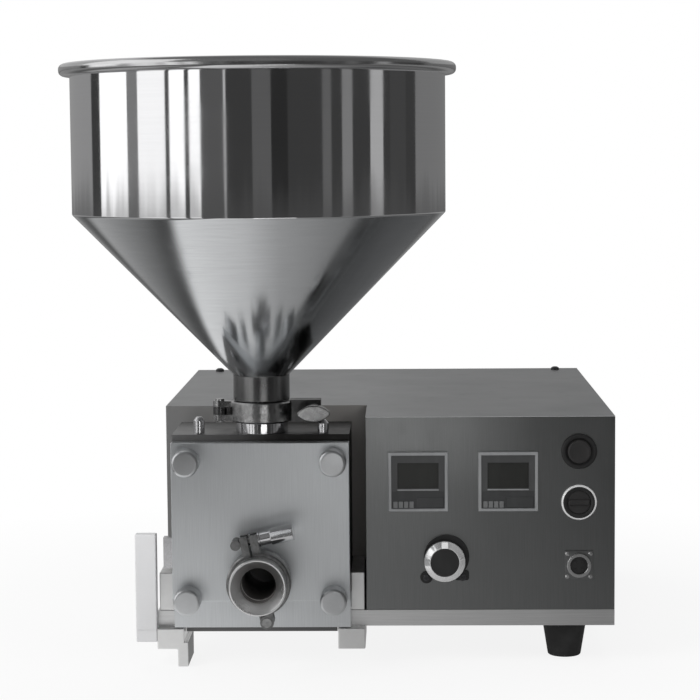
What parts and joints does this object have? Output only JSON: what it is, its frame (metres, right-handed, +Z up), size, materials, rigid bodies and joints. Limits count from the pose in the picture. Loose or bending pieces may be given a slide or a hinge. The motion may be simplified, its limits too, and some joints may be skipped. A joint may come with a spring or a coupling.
{
  "type": "donut filler machine",
  "caption": "Countertop filling machine: a conical hopper feeds a gear pump whose clamped front outlet doses filling, driven and timed by a steel control cabinet.",
  "frame": {"origin": "middle of the bounding box at the table, under the feet", "axes": "+Z up; -Y the front, the way the outlet points; +X to the right as seen from the front"},
  "size_m": [0.4424, 0.5209, 0.485],
  "materials": {
    "sheet_steel": "brushed stainless sheet",
    "black_screw": "blackened screw heads",
    "rubber": "black rubber",
    "stand_steel": "satin, lightly brushed",
    "post_paint": "pale satin",
    "pump_steel": "fine satin, machined",
    "ground_steel": "ground",
    "bronze": "bearing bronze",
    "bright_steel": "polished",
    "seal_white": "white silicone",
    "hopper_steel": "mirror polished cylinder, satin cone",
    "cast_steel": "dark investment-cast steel, edges rubbed bright",
    "motor_paint": "grey enamel",
    "black_plastic": "black, slightly glossy",
    "chrome_trim": "chromed bezel",
    "board_green": "green board with black parts"
  },
  "bodies": {
    "machine": {"base_pan": "sheet_steel", "housing_cover": "sheet_steel", "control_panel": "sheet_steel", "rear_panel": "sheet_steel", "cabinet_screws": "black_screw", "rubber_feet": "rubber", "pump_cradle": "stand_steel", "stand_rails": "stand_steel", "side_post": "post_paint", "pump_body": "pump_steel", "pump_cover": "pump_steel", "cover_gasket": "rubber", "shaft_bushes": "bronze", "shaft_seal": "rubber", "cover_studs": "bright_steel", "body_fittings": "bright_steel", "inlet_ferrule": "bright_steel", "ferrule_gaskets": "seal_white", "hopper": "hopper_steel", "hopper_clamp_front": "cast_steel", "hopper_clamp_back": "cast_steel", "hopper_clamp_pin": "cast_steel", "hopper_clamp_bolt": "bright_steel", "outlet_nozzle": "bright_steel", "outlet_clamp_right": "cast_steel", "outlet_clamp_left": "cast_steel", "outlet_clamp_pin": "cast_steel", "outlet_clamp_bolt": "bright_steel", "gear_motor": "motor_paint", "motor_bracket": "sheet_steel", "timers": "black_plastic", "dial_plate": "black_plastic", "speed_pot": "black_plastic", "mode_switch": "chrome_trim", "start_button_body": "black_plastic", "pedal_socket": "bright_steel", "control_board": "board_green", "power_inlet": "black_plastic"},
    "knob_washer_1": {"knob_washer_1": "bright_steel"},
    "cover_knob_1": {"cover_knob_1": "bright_steel"},
    "knob_washer_2": {"knob_washer_2": "bright_steel"},
    "cover_knob_2": {"cover_knob_2": "bright_steel"},
    "knob_washer_3": {"knob_washer_3": "bright_steel"},
    "cover_knob_3": {"cover_knob_3": "bright_steel"},
    "knob_washer_4": {"knob_washer_4": "bright_steel"},
    "cover_knob_4": {"cover_knob_4": "bright_steel"},
    "hopper_clamp_washer": {"hopper_clamp_washer": "bright_steel"},
    "hopper_wing_nut": {"hopper_wing_nut": "bright_steel"},
    "outlet_clamp_washer": {"outlet_clamp_washer": "bright_steel"},
    "outlet_wing_nut": {"outlet_wing_nut": "bright_steel"},
    "pump_drive": {"drive_shaft": "ground_steel", "drive_gear": "ground_steel", "shaft_coupling": "pump_steel", "motor_shaft": "ground_steel"},
    "pump_idler": {"idler_shaft": "ground_steel", "driven_gear": "ground_steel"},
    "speed_knob": {"speed_knob": "black_plastic", "pot_shaft": "ground_steel"},
    "mode_switch_handle": {"mode_switch_handle": "black_plastic"},
    "start_button_cap": {"start_button_cap": "black_plastic"}
  },
  "joints": [
    {"name": "knob_1_travel", "type": "slide", "parent": "machine", "child": "knob_washer_1", "axis": [0, -1, 0], "range_m": [0, 0.01]},
    {"name": "knob_1_turn", "type": "hinge", "parent": "knob_washer_1", "child": "cover_knob_1", "pos_m": [-0.12155, -0.1445, 0.17], "axis": [0, -1, 0], "range_deg": [0, 2881]},
    {"name": "knob_2_travel", "type": "slide", "parent": "machine", "child": "knob_washer_2", "axis": [0, -1, 0], "range_m": [0, 0.01]},
    {"name": "knob_2_turn", "type": "hinge", "parent": "knob_washer_2", "child": "cover_knob_2", "pos_m": [-0.00495, -0.1445, 0.17], "axis": [0, -1, 0], "range_deg": [0, 2881]},
    {"name": "knob_3_travel", "type": "slide", "parent": "machine", "child": "knob_washer_3", "axis": [0, -1, 0], "range_m": [0, 0.01]},
    {"name": "knob_3_turn", "type": "hinge", "parent": "knob_washer_3", "child": "cover_knob_3", "pos_m": [-0.12155, -0.1445, 0.059], "axis": [0, -1, 0], "range_deg": [0, 2881]},
    {"name": "knob_4_travel", "type": "slide", "parent": "machine", "child": "knob_washer_4", "axis": [0, -1, 0], "range_m": [0, 0.01]},
    {"name": "knob_4_turn", "type": "hinge", "parent": "knob_washer_4", "child": "cover_knob_4", "pos_m": [-0.00495, -0.1445, 0.059], "axis": [0, -1, 0], "range_deg": [0, 2881]},
    {"name": "hopper_nut_travel", "type": "slide", "parent": "machine", "child": "hopper_clamp_washer", "axis": [0, -1, 0], "range_m": [0, 0.008]},
    {"name": "hopper_nut_turn", "type": "hinge", "parent": "hopper_clamp_washer", "child": "hopper_wing_nut", "pos_m": [-0.02025, -0.1145, 0.2067], "axis": [0, -1, 0], "range_deg": [0, 2881]},
    {"name": "outlet_nut_travel", "type": "slide", "parent": "machine", "child": "outlet_clamp_washer", "axis": [0.9781, 0, 0.2079], "range_m": [0, 0.008]},
    {"name": "outlet_nut_turn", "type": "hinge", "parent": "outlet_clamp_washer", "child": "outlet_wing_nut", "pos_m": [-0.07032, -0.1595, 0.10976], "axis": [0.9781, 0, 0.2079], "range_deg": [0, 2881]},
    {"name": "pump_spin", "type": "hinge", "parent": "machine", "child": "pump_drive", "pos_m": [-0.03625, -0.1025, 0.12], "axis": [0, 1, 0], "continuous": true},
    {"name": "idler_spin", "type": "hinge", "parent": "machine", "child": "pump_idler", "pos_m": [-0.09025, -0.1025, 0.12], "axis": [0, 1, 0], "continuous": true},
    {"name": "speed_turn", "type": "hinge", "parent": "machine", "child": "speed_knob", "pos_m": [0.08395, -0.1245, 0.08639], "axis": [0, -1, 0], "range_deg": [-150, 150]},
    {"name": "mode_turn", "type": "hinge", "parent": "machine", "child": "mode_switch_handle", "pos_m": [0.19226, -0.1165, 0.13231], "axis": [0, -1, 0], "range_deg": [0, 90]},
    {"name": "start_press", "type": "slide", "parent": "machine", "child": "start_button_cap", "axis": [0, 1, 0], "range_m": [0, 0.0035], "stiffness_N_per_m": 400, "springref_m": -0.002}
  ],
  "couplings": [
    {"joint": "knob_1_turn", "follows": "knob_1_travel", "rad_per_m": 5026.5},
    {"joint": "knob_2_turn", "follows": "knob_2_travel", "rad_per_m": 5026.5},
    {"joint": "knob_3_turn", "follows": "knob_3_travel", "rad_per_m": 5026.5},
    {"joint": "knob_4_turn", "follows": "knob_4_travel", "rad_per_m": 5026.5},
    {"joint": "hopper_nut_turn", "follows": "hopper_nut_travel", "rad_per_m": 6283.2},
    {"joint": "outlet_nut_turn", "follows": "outlet_nut_travel", "rad_per_m": 6283.2},
    {"joint": "idler_spin", "follows": "pump_spin", "ratio": -1}
  ]
}
